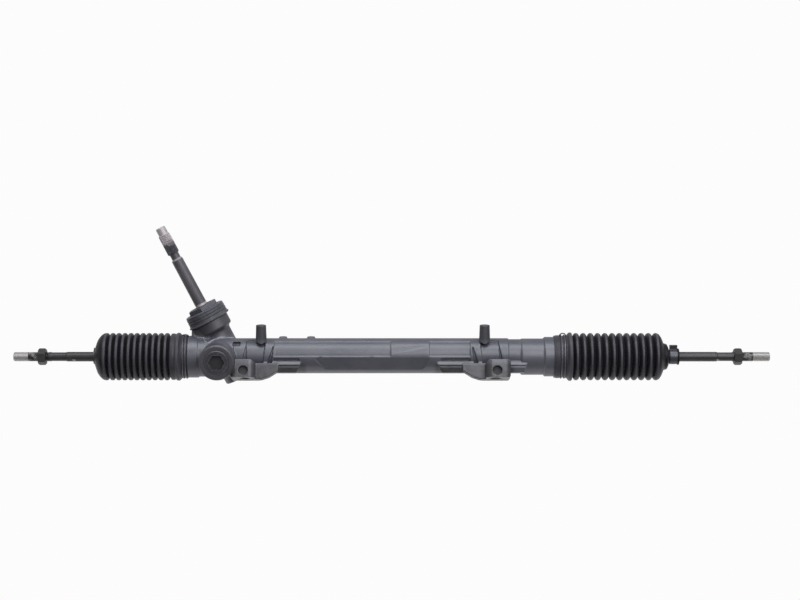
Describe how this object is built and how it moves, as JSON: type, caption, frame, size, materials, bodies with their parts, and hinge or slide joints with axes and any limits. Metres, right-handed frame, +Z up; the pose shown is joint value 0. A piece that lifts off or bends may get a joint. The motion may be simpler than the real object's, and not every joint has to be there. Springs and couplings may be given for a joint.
{
  "type": "rack and pinion steering gear",
  "caption": "Manual rack and pinion steering gear: ribbed cast housing with subframe lugs, leaning splined pinion, adjustable yoke, rubber bellows and threaded tie rods.",
  "frame": {"origin": "on the rack's axis, midway between the two subframe holes", "axes": "+X along the rack towards the right tie rod, +Z up with the upright bosses, -Y out of the yoke plug"},
  "size_m": [1.133, 0.105, 0.2391],
  "materials": {
    "housing_paint": "satin dark blue-grey paint over cast aluminium",
    "rubber_black": "matte moulded rubber",
    "boot_rubber": "matte moulded rubber",
    "rod_paint": "semi-gloss black paint",
    "shaft_paint": "satin grey paint, bare at the spline",
    "bare_steel": "machined steel",
    "hard_steel": "ground steel",
    "clamp_steel": "blackened steel",
    "pale_plastic": "moulded plastic",
    "plug_orange": "moulded plastic"
  },
  "bodies": {
    "housing": {"rack_housing": "housing_paint", "lower_pinion_cap": "housing_paint", "needle_bearing_shell": "hard_steel", "upper_bearing_outer_ring": "hard_steel", "pinion_lock_nut": "housing_paint", "pinion_oil_seal": "rubber_black", "pinion_dust_boot": "boot_rubber", "yoke_plunger": "bare_steel", "yoke_liner": "pale_plastic", "yoke_o_ring": "rubber_black", "yoke_spring": "bare_steel", "yoke_plug": "housing_paint", "rack_bush": "pale_plastic", "bush_retaining_ring": "hard_steel", "left_stop_ring": "bare_steel", "right_stop_ring": "bare_steel", "left_bellows": "rubber_black", "right_bellows": "rubber_black", "left_bellows_large_clamp": "clamp_steel", "right_bellows_large_clamp": "clamp_steel"},
    "pinion": {"pinion_shaft": "shaft_paint", "shaft_end_plug": "plug_orange", "upper_bearing_inner_ring": "hard_steel", "pinion_circlip": "hard_steel"},
    "ball_set": {"upper_bearing_balls": "hard_steel", "upper_bearing_cage": "pale_plastic"},
    "needle_set": {"lower_needle_rollers": "hard_steel"},
    "rack": {"rack_bar": "bare_steel", "left_lock_washer": "bare_steel", "right_lock_washer": "bare_steel", "left_rod_socket": "rod_paint", "right_rod_socket": "rod_paint"},
    "left_seat": {"left_ball_seat": "pale_plastic"},
    "right_seat": {"right_ball_seat": "pale_plastic"},
    "left_rod": {"left_tie_rod": "rod_paint", "left_jam_nut": "rod_paint", "left_bellows_small_clamp": "clamp_steel"},
    "right_rod": {"right_tie_rod": "rod_paint", "right_jam_nut": "rod_paint", "right_bellows_small_clamp": "clamp_steel"}
  },
  "joints": [
    {"name": "rack_slide", "type": "slide", "parent": "housing", "child": "rack", "axis": [1, 0, 0], "range_m": [-0.078, 0.058], "deforming": ["left_bellows", "right_bellows"]},
    {"name": "pinion_spin", "type": "hinge", "parent": "housing", "child": "pinion", "pos_m": [-0.215, 0.01399, 0], "axis": [-0.4587, 0, 0.8886], "range_deg": [-599, 446]},
    {"name": "ball_set_roll", "type": "hinge", "parent": "housing", "child": "ball_set", "pos_m": [-0.23793, 0.01399, 0.04443], "axis": [-0.4587, 0, 0.8886], "range_deg": [-238, 178]},
    {"name": "needle_set_roll", "type": "hinge", "parent": "housing", "child": "needle_set", "pos_m": [-0.20399, 0.01399, -0.02133], "axis": [-0.4587, 0, 0.8886], "range_deg": [-261, 195]},
    {"name": "left_rod_fore_aft", "type": "hinge", "parent": "rack", "child": "left_seat", "pos_m": [-0.33, 0, 0], "axis": [0, 0, 1], "range_deg": [-15, 15]},
    {"name": "left_rod_up_down", "type": "hinge", "parent": "left_seat", "child": "left_rod", "pos_m": [-0.33, 0, 0], "axis": [0, 1, 0], "range_deg": [-15, 15]},
    {"name": "right_rod_fore_aft", "type": "hinge", "parent": "rack", "child": "right_seat", "pos_m": [0.393, 0, 0], "axis": [0, 0, 1], "range_deg": [-15, 15]},
    {"name": "right_rod_up_down", "type": "hinge", "parent": "right_seat", "child": "right_rod", "pos_m": [0.393, 0, 0], "axis": [0, 1, 0], "range_deg": [-15, 15]}
  ],
  "couplings": [
    {"joint": "pinion_spin", "follows": "rack_slide", "rad_per_m": 133.63},
    {"joint": "ball_set_roll", "follows": "rack_slide", "rad_per_m": 53.02},
    {"joint": "needle_set_roll", "follows": "rack_slide", "rad_per_m": 58.099}
  ]
}
